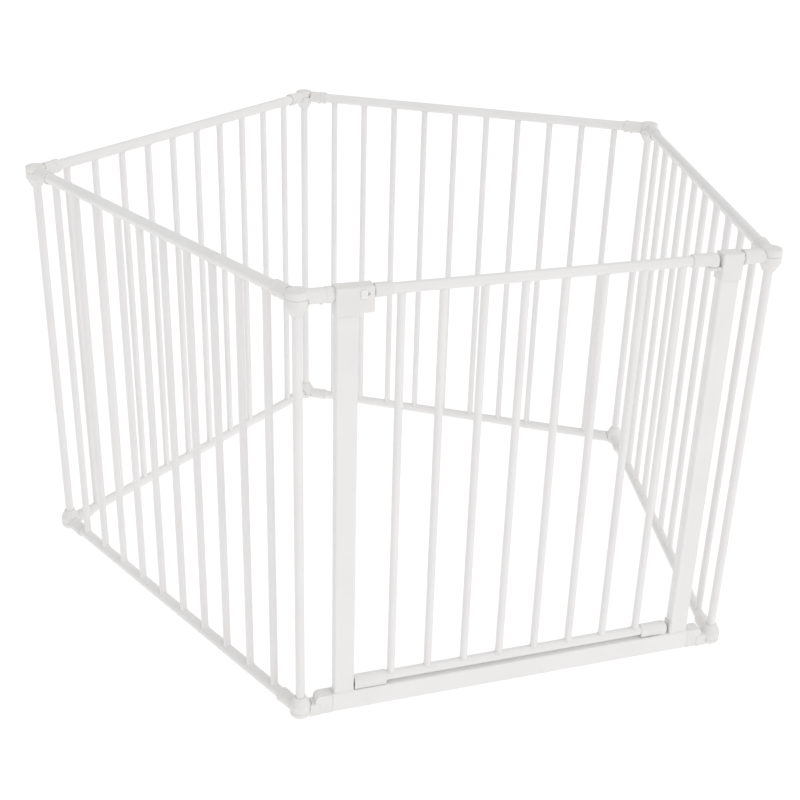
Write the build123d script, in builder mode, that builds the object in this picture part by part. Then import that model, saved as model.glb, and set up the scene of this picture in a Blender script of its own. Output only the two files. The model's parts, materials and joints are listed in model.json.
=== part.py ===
"""Five-section pet playpen with a gate: white steel bar panels on plastic corner hinges.

The ring's corners are A, B, C, D and E. The gate section runs from B to C along +X at the front,
and the others follow anticlockwise: right (C-D), back (D-E), back_left (E-A) and left (A-B).
Each section starts at the corner where its hinge knuckles are the outer pair, and ends at the
corner where they are the inner pair, so that all five sections chain together.
"""

import os
from math import cos, hypot, radians, sin, sqrt

from build123d import *

# Ring
SECTION = 720.0  # from corner axis to corner axis, the same in all five sections
ANGLE_B = 114.4  # inside angle at corner B, degrees
ANGLE_C = 102.8  # inside angle at corner C, degrees
RAIL_SPAN = 692.0  # from a bottom rail's centre to the top rail's centre

# Steel tube
RAIL_R = 9.0
LEAF_RAIL_R = 8.0
RAIL_WALL = 1.2
BAR_R = 6.0
BAR_WALL = 1.0
CORNER_POST_R = 7.0
CORNER_POST_WALL = 1.2
WELD_GAP = 0.05  # bar end to rail surface

# Fixed sections
BAR_COUNT = 10
BAR_PITCH = 65.0

# Corner fittings
HUB_R = 16.5
SLEEVE_R = 11.0  # outside of the sleeve that takes a rail, and half of a hub's height
SLEEVE_START = HUB_R + 0.6  # end that clears the neighbour's knuckle
OPEN_CORNER = "e"  # the one corner whose two sections can part sideways
SLEEVE_END = 48.0
SOCKET_START = 20.5
RAIL_INSET = 21.0  # rail end from the corner axis
SOCKET_GAP = 0.1
KNUCKLE_GAP = 0.3
CONE_HEIGHT = 14.0
CONE_NECK_R = 9.0
HUB_EDGE = 1.2  # chamfer round the outside of a hub
PIN_GAP = 0.08  # running clearance round a pin

# Feet and caps
FOOT_R = 9.0
FOOT_HEIGHT = 1.5
CAP_R = 12.0
CAP_HEIGHT = 1.0
CAP_EDGE = 0.5
CAP_PLUG = 9.0
POST_TO_FOOT = 0.5

# Gate frame
GATE_POST_WIDTH = 32.0
GATE_POST_DEPTH = 18.0
GATE_POST_WALL = 1.5
GATE_POST_CORNER = 3.0
GATE_POST_OFFSET = 68.3  # gate post's centre from its corner axis
STUB_END = 72.0  # stub rail's inner end from its corner axis
THRESHOLD_DEPTH = 20.0
THRESHOLD_HEIGHT = 34.0
THRESHOLD_WALL = 1.5
THRESHOLD_CORNER = 2.0
THRESHOLD_LIFT = 3.0  # underside above the floor
THRESHOLD_END = 50.0  # threshold tube's end from the corner axis
SHOE_START = 22.0  # moulded end of the threshold
SHOE_ROUND = 9.0
SHOE_PLUG = 14.0

# Gate leaf
LEAF_BAR_COUNT = 8
LEAF_BAR_PITCH = 61.0
LEAF_LOW_RISE = 37.0  # leaf's bottom rail above the fixed bottom rails
LEAF_HIGH_RISE = 1.0  # leaf's top rail above the fixed top rails
LEAF_SLEEVE_R = 10.0
LEAF_SLEEVE_START = 107.0
LEAF_SLEEVE_END = 132.0
LEAF_BLOCK_START = 85.8
LEAF_BLOCK_END = 138.0
LEAF_RAIL_START = 115.0
LEAF_BLOCK_RAIL_START = 97.0
LEAF_GAP = 1.0  # under the leaf's block, above the threshold

# Gate hinge
HINGE_X = 623.2
HINGE_EYE_R = 10.5
HINGE_LUG_R = 9.5
HINGE_PIN_R = 4.0
HINGE_SLEEVE_START = 588.0
HINGE_BLOCK_START = 583.0
HINGE_RAIL_END = 603.0
HINGE_LUG_HEIGHT = 5.0
HINGE_PLATE_HEIGHT = 2.0  # lug on the threshold
HINGE_FLANGE = 1.3  # the lug's upright leg on the gate post
HINGE_GAP = 0.5
HINGE_PIN_TOP = 6.0  # pin above the rail's centre

# Housings on top of the gate posts
HOUSING_DEPTH = 24.0
HOUSING_EDGE = 1.5
HOUSING_POST_WALL = 1.3
HOUSING_DROP = 31.0  # skirt below the rail centre
HOUSING_RISE = 11.0
HOUSING_NOSE_END = 106.0
HOUSING_NOSE_DROP = 27.0
HOUSING_NOSE_CHAMFER = 4.0
HINGE_CAP_RISE = 10.5
HINGE_CAP_DROP = 32.0
POST_TO_RAIL = 0.5

# Latch
BOLT_R = 4.0
BOLT_START = 78.0
BOLT_END = 105.5
BOLT_BORE_START = 75.0
BOLT_TRAVEL = 6.0
BOLT_SOCKET_GAP = 0.4
BUTTON_CENTRE = 90.0
BUTTON_WIDTH = 9.0
BUTTON_HEIGHT = 12.0
BUTTON_THICKNESS = 2.2
BUTTON_EDGE = 0.6
BUTTON_GAP = 0.3
PEG_R = 2.0
SLOT_GAP = 0.4

# Heights
RAIL_LOW = FOOT_HEIGHT + SLEEVE_R
RAIL_HIGH = RAIL_LOW + RAIL_SPAN
LEAF_LOW = RAIL_LOW + LEAF_LOW_RISE
LEAF_HIGH = RAIL_HIGH + LEAF_HIGH_RISE
THRESHOLD_TOP = THRESHOLD_LIFT + THRESHOLD_HEIGHT
GATE_POST_TOP = RAIL_HIGH - RAIL_R - POST_TO_RAIL
HINGE_BLOCK_LOW = THRESHOLD_TOP + HINGE_PLATE_HEIGHT + HINGE_GAP


def find_corners():
    """Corner axes in plan, shifted so that the ring's outline is centred on the origin."""
    b = (0.0, 0.0)
    c = (SECTION, 0.0)
    a = (SECTION * cos(radians(ANGLE_B)), SECTION * sin(radians(ANGLE_B)))
    d = (SECTION - SECTION * cos(radians(ANGLE_C)), SECTION * sin(radians(ANGLE_C)))
    half_x = (d[0] - a[0]) / 2
    half_y = (d[1] - a[1]) / 2
    half = hypot(half_x, half_y)
    rise = sqrt(SECTION**2 - half**2)
    e = (
        a[0] + half_x - rise * half_y / half,
        a[1] + half_y + rise * half_x / half,
    )
    middle = ((a[0] + d[0]) / 2, e[1] / 2)
    named = {"a": a, "b": b, "c": c, "d": d, "e": e}
    return {key: (x - middle[0], y - middle[1]) for key, (x, y) in named.items()}


CORNERS = find_corners()
SECTION_ENDS = {
    "left": ("a", "b"),
    "gate": ("b", "c"),
    "right": ("c", "d"),
    "back": ("d", "e"),
    "back_left": ("e", "a"),
}
FIXED_SECTIONS = ("left", "right", "back", "back_left")


def section_plane(name):
    """Floor plane of a section: origin at its first corner, x towards its last corner."""
    first, last = (CORNERS[key] for key in SECTION_ENDS[name])
    return Plane(
        origin=(first[0], first[1], 0),
        x_dir=(last[0] - first[0], last[1] - first[1], 0),
        z_dir=(0, 0, 1),
    )


def turned(section):
    """The same section seen from its last corner, x towards its first corner."""
    return Plane(
        origin=section.from_local_coords((SECTION, 0, 0)),
        x_dir=section.x_dir * -1,
        z_dir=(0, 0, 1),
    )


def across(section, along, height):
    """Upright plane across a section, facing along it: x sideways, y up."""
    return Plane(
        origin=section.from_local_coords((along, 0, height)),
        x_dir=section.y_dir,
        z_dir=section.x_dir,
    )


def beside(section, sideways):
    """Upright plane beside a section: x along it, y up, facing its outer side."""
    return Plane(
        origin=section.from_local_coords((0, sideways, 0)),
        x_dir=section.x_dir,
        z_dir=section.y_dir * -1,
    )


def make_rail(section, start, end, height, radius=RAIL_R):
    with BuildPart() as rail:
        with BuildSketch(across(section, start, height)):
            Circle(radius)
            Circle(radius - RAIL_WALL, mode=Mode.SUBTRACT)
        extrude(amount=end - start)
    return rail.part


def make_bars(section, count, pitch, low, high, rail_r=RAIL_R):
    """Upright bars centred on a section, their ends saddled to the rails."""
    with BuildPart() as bars:
        middle = section.from_local_coords((SECTION / 2, 0, low))
        with BuildSketch(Plane(origin=middle, x_dir=section.x_dir, z_dir=(0, 0, 1))):
            with GridLocations(pitch, 0, count, 1):
                Circle(BAR_R)
                Circle(BAR_R - BAR_WALL, mode=Mode.SUBTRACT)
        extrude(amount=high - low)
        for height in (low, high):
            with BuildSketch(across(section, 0, height)):
                Circle(rail_r + WELD_GAP)
            extrude(amount=SECTION, mode=Mode.SUBTRACT)
    return bars.part


def knuckle_span(rail_height, upper_hub, outer):
    """Lowest and highest level of a knuckle in the upper or lower hub of a corner."""
    if upper_hub == outer:
        return rail_height + KNUCKLE_GAP / 2, rail_height + SLEEVE_R
    return rail_height - SLEEVE_R, rail_height - KNUCKLE_GAP / 2


def make_knuckle(end, rail_height, upper_hub, outer):
    """Half-height hinge knuckle round the corner post; the inner one has a cone to the post."""
    low, high = knuckle_span(rail_height, upper_hub, outer)
    facing = -1 if upper_hub else 1
    with BuildPart() as knuckle:
        with BuildSketch(end.offset(low)):
            Circle(HUB_R)
        extrude(amount=high - low)
        rims = knuckle.edges().filter_by(GeomType.CIRCLE).sort_by(Axis.Z)
        if outer:
            chamfer(rims[-1] if upper_hub else rims[0], HUB_EDGE)
        else:
            cone_base = low if upper_hub else high
            with BuildSketch(end.offset(cone_base)):
                Circle(HUB_R)
            with BuildSketch(end.offset(cone_base + facing * CONE_HEIGHT)):
                Circle(CONE_NECK_R)
            loft()
        with BuildSketch(end.offset(low - CONE_HEIGHT)):
            Circle(CORNER_POST_R + PIN_GAP)
        extrude(amount=high - low + 2 * CONE_HEIGHT, mode=Mode.SUBTRACT)
    return knuckle.part


def cut_half_lap(end, low, opens):
    """Clear the other knuckle: round about the post, or flat where the ring can open."""
    with BuildSketch(end.offset(low)) as room:
        if opens:
            Rectangle(2 * SLEEVE_START, 3 * SLEEVE_R)
        else:
            Circle(SLEEVE_START)
    extrude(room.sketch, amount=SLEEVE_R + KNUCKLE_GAP / 2, mode=Mode.SUBTRACT)


def make_sleeve_fitting(end, rail_height, upper_hub, outer, opens=False):
    """A knuckle with the sleeve that takes a rail, its half-lap clear of the other knuckle."""
    low, high = knuckle_span(rail_height, upper_hub, outer)
    other_low = rail_height - SLEEVE_R if low > rail_height else high
    with BuildPart() as fitting:
        with BuildSketch(across(end, 0, rail_height)):
            Circle(SLEEVE_R)
        extrude(amount=SLEEVE_END)
        mouth = fitting.faces().sort_by(Axis(end.origin, end.x_dir))[-1]
        chamfer(mouth.edges(), HUB_EDGE / 2)
        cut_half_lap(end, other_low, opens)
        with BuildSketch(end.offset(low)):
            Circle(HUB_R - HUB_EDGE)
        extrude(amount=high - low, mode=Mode.SUBTRACT)
        add(make_knuckle(end, rail_height, upper_hub, outer))
        with BuildSketch(across(end, SOCKET_START, rail_height)):
            Circle(RAIL_R + SOCKET_GAP)
        extrude(amount=SLEEVE_END - SOCKET_START, mode=Mode.SUBTRACT)
    return fitting.part


def make_shoe_fitting(end, outer):
    """Lower gate fitting: a knuckle with the moulded end of the threshold."""
    low, high = knuckle_span(RAIL_LOW, False, outer)
    other_low = high if outer else RAIL_LOW - SLEEVE_R
    shoe_length = THRESHOLD_END - SHOE_START
    with BuildPart() as fitting:
        with BuildSketch(beside(end, THRESHOLD_DEPTH / 2)):
            with Locations(((SHOE_START + THRESHOLD_END) / 2, THRESHOLD_LIFT + THRESHOLD_HEIGHT / 2)):
                Rectangle(shoe_length, THRESHOLD_HEIGHT)
        extrude(amount=THRESHOLD_DEPTH)
        start = fitting.faces().sort_by(Axis(end.origin, end.x_dir))[0]
        fillet(start.edges().sort_by(Axis.Z)[-1], SHOE_ROUND)
        with BuildSketch(across(end, 0, RAIL_LOW)):
            Rectangle(2 * SLEEVE_R, 2 * SLEEVE_R)
        extrude(amount=SHOE_START + SHOE_ROUND)
        cut_half_lap(end, other_low, opens=False)
        with BuildSketch(end.offset(low)):
            Circle(HUB_R - HUB_EDGE)
        extrude(amount=high - low, mode=Mode.SUBTRACT)
        add(make_knuckle(end, RAIL_LOW, False, outer))
        with BuildSketch(across(end, THRESHOLD_END, THRESHOLD_LIFT + THRESHOLD_HEIGHT / 2)):
            RectangleRounded(
                THRESHOLD_DEPTH - 2 * THRESHOLD_WALL,
                THRESHOLD_HEIGHT - 2 * THRESHOLD_WALL,
                THRESHOLD_CORNER,
            )
        extrude(amount=SHOE_PLUG)
    return fitting.part


def make_foot_pad(section):
    with BuildPart() as pad:
        with BuildSketch(section):
            Circle(FOOT_R)
        extrude(amount=FOOT_HEIGHT)
        chamfer(pad.edges().group_by(Axis.Z)[0], FOOT_HEIGHT / 4)
    return pad.part


def make_corner_post(corner, low, high):
    x, y = CORNERS[corner]
    with BuildPart() as post:
        with BuildSketch(Plane(origin=(x, y, low))):
            Circle(CORNER_POST_R)
            Circle(CORNER_POST_R - CORNER_POST_WALL, mode=Mode.SUBTRACT)
        extrude(amount=high - low)
    return post.part


def make_post_cap(corner, plug_r):
    """Flat cap on a corner's upper hub, its plug pushed into the tube or bore below."""
    x, y = CORNERS[corner]
    hub_top = RAIL_HIGH + SLEEVE_R
    with BuildPart() as cap:
        with BuildSketch(Plane(origin=(x, y, hub_top))):
            Circle(CAP_R)
        extrude(amount=CAP_HEIGHT)
        chamfer(cap.edges().group_by(Axis.Z)[-1], CAP_EDGE)
        with BuildSketch(Plane(origin=(x, y, hub_top - CAP_PLUG))):
            Circle(plug_r)
        extrude(amount=CAP_PLUG)
    return cap.part


def make_gate_post(gate, along):
    with BuildPart() as post:
        foot = gate.from_local_coords((along, 0, THRESHOLD_TOP))
        with BuildSketch(Plane(origin=foot, x_dir=gate.x_dir, z_dir=(0, 0, 1))):
            RectangleRounded(GATE_POST_WIDTH, GATE_POST_DEPTH, GATE_POST_CORNER)
            RectangleRounded(
                GATE_POST_WIDTH - 2 * GATE_POST_WALL,
                GATE_POST_DEPTH - 2 * GATE_POST_WALL,
                GATE_POST_CORNER - GATE_POST_WALL,
                mode=Mode.SUBTRACT,
            )
        extrude(amount=GATE_POST_TOP - THRESHOLD_TOP)
    return post.part


def make_threshold(gate):
    with BuildPart() as threshold:
        with BuildSketch(across(gate, THRESHOLD_END, THRESHOLD_LIFT + THRESHOLD_HEIGHT / 2)):
            RectangleRounded(THRESHOLD_DEPTH, THRESHOLD_HEIGHT, THRESHOLD_CORNER)
            RectangleRounded(
                THRESHOLD_DEPTH - 2 * THRESHOLD_WALL,
                THRESHOLD_HEIGHT - 2 * THRESHOLD_WALL,
                THRESHOLD_CORNER,
                mode=Mode.SUBTRACT,
            )
        extrude(amount=SECTION - 2 * THRESHOLD_END)
    return threshold.part


def cut_post_pocket(side):
    """Pocket for the gate post's top, cut into the housing being built."""
    foot = side.from_local_coords((GATE_POST_OFFSET, 0, THRESHOLD_TOP))
    with BuildSketch(Plane(origin=foot, x_dir=side.x_dir, z_dir=(0, 0, 1))) as pocket:
        RectangleRounded(
            GATE_POST_WIDTH + 2 * SOCKET_GAP,
            GATE_POST_DEPTH + 2 * SOCKET_GAP,
            GATE_POST_CORNER,
        )
    extrude(pocket.sketch, amount=GATE_POST_TOP - THRESHOLD_TOP, mode=Mode.SUBTRACT)


def cut_stub_socket(side):
    """Socket for the stub rail, cut into the housing being built."""
    with BuildSketch(across(side, 0, RAIL_HIGH)) as socket:
        Circle(RAIL_R + SOCKET_GAP)
    extrude(socket.sketch, amount=STUB_END, mode=Mode.SUBTRACT)


def make_latch_housing(gate):
    """Housing on the latch post, its nose over the end of the leaf's top rail."""
    outer_face = GATE_POST_OFFSET - GATE_POST_WIDTH / 2 - HOUSING_POST_WALL
    post_side = GATE_POST_OFFSET + GATE_POST_WIDTH / 2 + HOUSING_POST_WALL
    skirt = RAIL_HIGH - HOUSING_DROP
    nose = RAIL_HIGH - HOUSING_NOSE_DROP
    top = RAIL_HIGH + HOUSING_RISE
    with BuildPart() as housing:
        with BuildSketch(beside(gate, HOUSING_DEPTH / 2)):
            with BuildLine():
                Polyline(
                    (outer_face, skirt),
                    (post_side, skirt),
                    (post_side + HOUSING_NOSE_CHAMFER, nose),
                    (HOUSING_NOSE_END, nose),
                    (HOUSING_NOSE_END, top),
                    (outer_face, top),
                    close=True,
                )
            make_face()
        extrude(amount=HOUSING_DEPTH)
        chamfer(housing.faces().sort_by(Axis.Z)[-1].edges(), HOUSING_EDGE)
        cut_post_pocket(gate)
        cut_stub_socket(gate)
        with BuildSketch(across(gate, BOLT_BORE_START, LEAF_HIGH)):
            Circle(BOLT_R + PIN_GAP)
        extrude(amount=HOUSING_NOSE_END - BOLT_BORE_START, mode=Mode.SUBTRACT)
        with BuildSketch(beside(gate, 0)):
            with Locations((BUTTON_CENTRE + BOLT_TRAVEL / 2, LEAF_HIGH)):
                SlotCenterToCenter(BOLT_TRAVEL, 2 * (PEG_R + SLOT_GAP))
        extrude(amount=HOUSING_DEPTH, mode=Mode.SUBTRACT)
    return housing.part


def make_latch_bolt(gate):
    with BuildPart() as bolt:
        with BuildSketch(across(gate, BOLT_START, LEAF_HIGH)):
            Circle(BOLT_R)
        extrude(amount=BOLT_END - BOLT_START)
        tip = bolt.faces().sort_by(Axis(gate.origin, gate.x_dir))[-1]
        chamfer(tip.edges(), BUTTON_EDGE)
        with BuildSketch(beside(gate, 0)):
            with Locations((BUTTON_CENTRE, LEAF_HIGH)):
                Circle(PEG_R)
        extrude(amount=HOUSING_DEPTH, mode=Mode.SUBTRACT)
    return bolt.part


def make_latch_button(gate):
    """Thumb button on the housing's outer face, its peg in the bolt."""
    face = HOUSING_DEPTH / 2 + BUTTON_GAP
    with BuildPart() as button:
        with BuildSketch(beside(gate, -face)):
            with Locations((BUTTON_CENTRE, LEAF_HIGH)):
                RectangleRounded(BUTTON_WIDTH, BUTTON_HEIGHT, BUTTON_THICKNESS / 2)
        extrude(amount=BUTTON_THICKNESS)
        outside = button.faces().sort_by(Axis(gate.origin, gate.y_dir))[0]
        chamfer(outside.edges(), BUTTON_EDGE)
        with BuildSketch(beside(gate, 0)):
            with Locations((BUTTON_CENTRE, LEAF_HIGH)):
                Circle(PEG_R)
        extrude(amount=face)
    return button.part


def make_hinge_lug(gate, low, high, end):
    """Lug that carries a hinge pin: round about the pin, straight on to the gate post."""
    with BuildPart() as lug:
        centre = gate.from_local_coords((HINGE_X, 0, low))
        with BuildSketch(Plane(origin=centre, x_dir=gate.x_dir, z_dir=(0, 0, 1))):
            Circle(HINGE_LUG_R)
            with Locations(((end - HINGE_X) / 2, 0)):
                Rectangle(end - HINGE_X, 2 * HINGE_LUG_R)
            Circle(HINGE_PIN_R + PIN_GAP, mode=Mode.SUBTRACT)
        extrude(amount=high - low)
    return lug.part


def make_lower_lug(gate):
    """Angle bracket: a plate on the threshold with the lower pin's hole, and a leg up the post."""
    post_face = SECTION - GATE_POST_OFFSET - GATE_POST_WIDTH / 2
    leg_height = LEAF_LOW + LEAF_SLEEVE_R - THRESHOLD_TOP
    with BuildPart() as lug:
        add(make_hinge_lug(gate, THRESHOLD_TOP, THRESHOLD_TOP + HINGE_PLATE_HEIGHT, post_face))
        with BuildSketch(across(gate, post_face - HINGE_FLANGE, THRESHOLD_TOP + leg_height / 2)):
            Rectangle(2 * HINGE_LUG_R, leg_height)
        extrude(amount=HINGE_FLANGE)
    return lug.part


def make_hinge_cap(gate):
    """Cap on the hinge post, with the lug under the eye of the leaf's top rail."""
    side = turned(gate)
    outer_face = GATE_POST_OFFSET - GATE_POST_WIDTH / 2 - HOUSING_POST_WALL
    inner_face = GATE_POST_OFFSET + GATE_POST_WIDTH / 2 + HOUSING_POST_WALL
    low = RAIL_HIGH - HINGE_CAP_DROP
    high = RAIL_HIGH + HINGE_CAP_RISE
    lug_top = LEAF_HIGH - LEAF_SLEEVE_R - HINGE_GAP
    with BuildPart() as cap:
        with BuildSketch(beside(side, HOUSING_DEPTH / 2)):
            with Locations(((outer_face + inner_face) / 2, (low + high) / 2)):
                Rectangle(inner_face - outer_face, high - low)
        extrude(amount=HOUSING_DEPTH)
        chamfer(cap.faces().sort_by(Axis.Z)[-1].edges(), HOUSING_EDGE)
        cut_post_pocket(side)
        cut_stub_socket(side)
        add(make_hinge_lug(gate, lug_top - HINGE_LUG_HEIGHT, lug_top, SECTION - inner_face + HUB_EDGE))
    return cap.part


def make_leaf_rail(gate, start, height):
    return make_rail(gate, start, HINGE_RAIL_END, height, LEAF_RAIL_R)


def make_leaf_bars(gate):
    return make_bars(gate, LEAF_BAR_COUNT, LEAF_BAR_PITCH, LEAF_LOW, LEAF_HIGH, LEAF_RAIL_R)


def make_leaf_latch_sleeve(gate):
    """End of the leaf's top rail: the rail's socket on one side, the bolt's on the other."""
    with BuildPart() as sleeve:
        with BuildSketch(across(gate, LEAF_SLEEVE_START, LEAF_HIGH)):
            Circle(LEAF_SLEEVE_R)
        extrude(amount=LEAF_SLEEVE_END - LEAF_SLEEVE_START)
        chamfer(sleeve.edges().filter_by(GeomType.CIRCLE), HUB_EDGE / 2)
        with BuildSketch(across(gate, LEAF_RAIL_START, LEAF_HIGH)):
            Circle(LEAF_RAIL_R + SOCKET_GAP)
        extrude(amount=LEAF_SLEEVE_END - LEAF_RAIL_START, mode=Mode.SUBTRACT)
        with BuildSketch(across(gate, LEAF_SLEEVE_START, LEAF_HIGH)):
            Circle(BOLT_R + BOLT_SOCKET_GAP)
        extrude(amount=LEAF_RAIL_START - LEAF_SLEEVE_START, mode=Mode.SUBTRACT)
    return sleeve.part


def make_leaf_block(gate):
    """End of the leaf's bottom rail, with a tongue down to the threshold."""
    tongue_low = THRESHOLD_TOP + LEAF_GAP
    with BuildPart() as block:
        with BuildSketch(across(gate, LEAF_BLOCK_START, LEAF_LOW)):
            Circle(LEAF_SLEEVE_R)
            with Locations((0, (tongue_low - LEAF_LOW) / 2)):
                Rectangle(2 * LEAF_RAIL_R, LEAF_LOW - tongue_low)
        extrude(amount=LEAF_BLOCK_END - LEAF_BLOCK_START)
        with BuildSketch(across(gate, LEAF_BLOCK_RAIL_START, LEAF_LOW)):
            Circle(LEAF_RAIL_R + SOCKET_GAP)
        extrude(amount=LEAF_BLOCK_END - LEAF_BLOCK_RAIL_START, mode=Mode.SUBTRACT)
    return block.part


def make_leaf_hinge_sleeve(gate, height, eye_low, sleeve_start):
    """End of a leaf rail on the hinge side: a sleeve with an upright eye for the pin."""
    with BuildPart() as sleeve:
        with BuildSketch(across(gate, sleeve_start, height)):
            Circle(LEAF_SLEEVE_R)
            with Locations((0, (eye_low - height) / 2)):
                Rectangle(2 * LEAF_RAIL_R, height - eye_low)
        extrude(amount=HINGE_X - sleeve_start)
        mouth = sleeve.faces().sort_by(Axis(gate.origin, gate.x_dir))[0]
        chamfer(mouth.edges(), HUB_EDGE / 2)
        eye = gate.from_local_coords((HINGE_X, 0, eye_low))
        with BuildSketch(Plane(origin=eye, z_dir=(0, 0, 1))):
            Circle(HINGE_EYE_R)
        extrude(amount=height + LEAF_SLEEVE_R - eye_low)
        with BuildSketch(across(gate, sleeve_start, height)):
            Circle(LEAF_RAIL_R + SOCKET_GAP)
        extrude(amount=HINGE_RAIL_END - sleeve_start, mode=Mode.SUBTRACT)
        with BuildSketch(Plane(origin=eye, z_dir=(0, 0, 1))):
            Circle(HINGE_PIN_R)
        extrude(amount=height + HINGE_PIN_TOP - eye_low, mode=Mode.SUBTRACT)
    return sleeve.part


def make_upper_hinge_sleeve(gate):
    return make_leaf_hinge_sleeve(gate, LEAF_HIGH, LEAF_HIGH - LEAF_SLEEVE_R, HINGE_SLEEVE_START)


def make_lower_hinge_block(gate):
    """The lower sleeve's tongue reaches down to the plate on the threshold."""
    return make_leaf_hinge_sleeve(gate, LEAF_LOW, HINGE_BLOCK_LOW, HINGE_BLOCK_START)


def make_hinge_pins(gate):
    """Two pins set in the leaf's eyes and standing in the lugs below them."""
    upper_low = LEAF_HIGH - LEAF_SLEEVE_R - HINGE_LUG_HEIGHT
    lower_low = THRESHOLD_TOP + HINGE_GAP
    with BuildPart() as pins:
        for low, height in ((lower_low, LEAF_LOW), (upper_low, LEAF_HIGH)):
            centre = gate.from_local_coords((HINGE_X, 0, low))
            with BuildSketch(Plane(origin=centre, z_dir=(0, 0, 1))):
                Circle(HINGE_PIN_R)
            extrude(amount=height + HINGE_PIN_TOP - low)
    return pins.part


def join_solids(*pieces):
    """Separate solids of one node, such as the two fittings on a section's top rail."""
    with BuildPart() as group:
        for piece in pieces:
            add(piece)
    return group.part


def make_fixed_section(name):
    section = section_plane(name)
    far = turned(section)
    rail_end = SECTION - RAIL_INSET
    first_opens, last_opens = (key == OPEN_CORNER for key in SECTION_ENDS[name])
    return {
        f"{name}_top_rail": make_rail(section, RAIL_INSET, rail_end, RAIL_HIGH),
        f"{name}_bottom_rail": make_rail(section, RAIL_INSET, rail_end, RAIL_LOW),
        f"{name}_bars": make_bars(section, BAR_COUNT, BAR_PITCH, RAIL_LOW, RAIL_HIGH),
        f"{name}_upper_fittings": join_solids(
            make_sleeve_fitting(section, RAIL_HIGH, True, True, first_opens),
            make_sleeve_fitting(far, RAIL_HIGH, True, False, last_opens),
        ),
        f"{name}_lower_fittings": join_solids(
            make_sleeve_fitting(section, RAIL_LOW, False, True, first_opens),
            make_sleeve_fitting(far, RAIL_LOW, False, False, last_opens),
        ),
        f"{name}_foot_pad": make_foot_pad(section),
    }


def make_corners():
    """Corner posts and caps; the post at E ends inside the inner knuckles."""
    hub_top = RAIL_HIGH + SLEEVE_R
    nodes = {}
    for corner in "abcd":
        nodes[f"corner_post_{corner}"] = make_corner_post(corner, FOOT_HEIGHT + POST_TO_FOOT, hub_top)
        nodes[f"post_cap_{corner}"] = make_post_cap(corner, CORNER_POST_R - CORNER_POST_WALL)
    inner_low = RAIL_LOW + KNUCKLE_GAP / 2
    inner_high = RAIL_HIGH - KNUCKLE_GAP / 2
    nodes["corner_post_e"] = make_corner_post("e", inner_low, inner_high)
    nodes["post_cap_e"] = make_post_cap("e", CORNER_POST_R + PIN_GAP)
    return nodes


def make_gate_frame():
    gate = section_plane("gate")
    far = turned(gate)
    return {
        "gate_upper_fittings": join_solids(
            make_sleeve_fitting(gate, RAIL_HIGH, True, True),
            make_sleeve_fitting(far, RAIL_HIGH, True, False),
        ),
        "gate_lower_fittings": join_solids(
            make_shoe_fitting(gate, True),
            make_shoe_fitting(far, False),
        ),
        "gate_foot_pad": make_foot_pad(gate),
        "gate_stub_rails": join_solids(
            make_rail(gate, RAIL_INSET, STUB_END, RAIL_HIGH),
            make_rail(far, RAIL_INSET, STUB_END, RAIL_HIGH),
        ),
        "latch_post": make_gate_post(gate, GATE_POST_OFFSET),
        "hinge_post": make_gate_post(gate, SECTION - GATE_POST_OFFSET),
        "threshold": make_threshold(gate),
        "latch_housing": make_latch_housing(gate),
        "hinge_cap": make_hinge_cap(gate),
        "lower_hinge_lug": make_lower_lug(gate),
    }


def make_gate_leaf():
    gate = section_plane("gate")
    return {
        "leaf_top_rail": make_leaf_rail(gate, LEAF_RAIL_START, LEAF_HIGH),
        "leaf_bottom_rail": make_leaf_rail(gate, LEAF_BLOCK_RAIL_START, LEAF_LOW),
        "leaf_bars": make_leaf_bars(gate),
        "leaf_latch_sleeve": make_leaf_latch_sleeve(gate),
        "leaf_latch_block": make_leaf_block(gate),
        "leaf_upper_hinge_sleeve": make_upper_hinge_sleeve(gate),
        "leaf_lower_hinge_block": make_lower_hinge_block(gate),
        "leaf_hinge_pins": make_hinge_pins(gate),
        "latch_bolt": make_latch_bolt(gate),
        "latch_button": make_latch_button(gate),
    }


def export_nodes(nodes):
    os.makedirs("parts", exist_ok=True)
    for name, part in nodes.items():
        part.label = name
        export_step(part, f"parts/{name}.step")


all_nodes = {**make_gate_frame(), **make_gate_leaf(), **make_corners()}
for section_name in FIXED_SECTIONS:
    all_nodes.update(make_fixed_section(section_name))
export_nodes(all_nodes)
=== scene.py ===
import json
from math import cos, pi, radians, sin, sqrt, tan

import bmesh
import bpy
from mathutils import Matrix, Vector, noise


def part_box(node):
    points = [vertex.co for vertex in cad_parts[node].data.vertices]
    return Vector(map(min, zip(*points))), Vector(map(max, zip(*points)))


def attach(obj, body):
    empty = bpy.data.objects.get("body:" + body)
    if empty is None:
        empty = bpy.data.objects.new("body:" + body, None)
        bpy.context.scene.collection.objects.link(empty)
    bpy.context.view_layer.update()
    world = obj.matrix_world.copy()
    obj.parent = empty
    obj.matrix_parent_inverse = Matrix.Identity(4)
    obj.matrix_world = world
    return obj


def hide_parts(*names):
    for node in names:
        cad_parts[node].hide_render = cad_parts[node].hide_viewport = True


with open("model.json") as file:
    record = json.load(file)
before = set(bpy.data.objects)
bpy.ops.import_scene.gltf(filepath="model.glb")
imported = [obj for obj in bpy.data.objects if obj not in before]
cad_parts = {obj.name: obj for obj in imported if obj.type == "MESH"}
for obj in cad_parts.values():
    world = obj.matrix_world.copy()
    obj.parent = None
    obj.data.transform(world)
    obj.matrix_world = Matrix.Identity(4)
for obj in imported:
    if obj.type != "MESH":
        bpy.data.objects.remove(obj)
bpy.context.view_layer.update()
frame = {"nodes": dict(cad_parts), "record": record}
scene = bpy.context.scene

# ---------------------------------------------------------------- measures, in metres
MM = 0.001
UP = Vector((0, 0, 1))
TURN_TO_X = Matrix.Rotation(radians(90), 4, "Y")  # local z becomes x
STAND_UP = Matrix.Rotation(radians(90), 4, "X")  # local y becomes z


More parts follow.
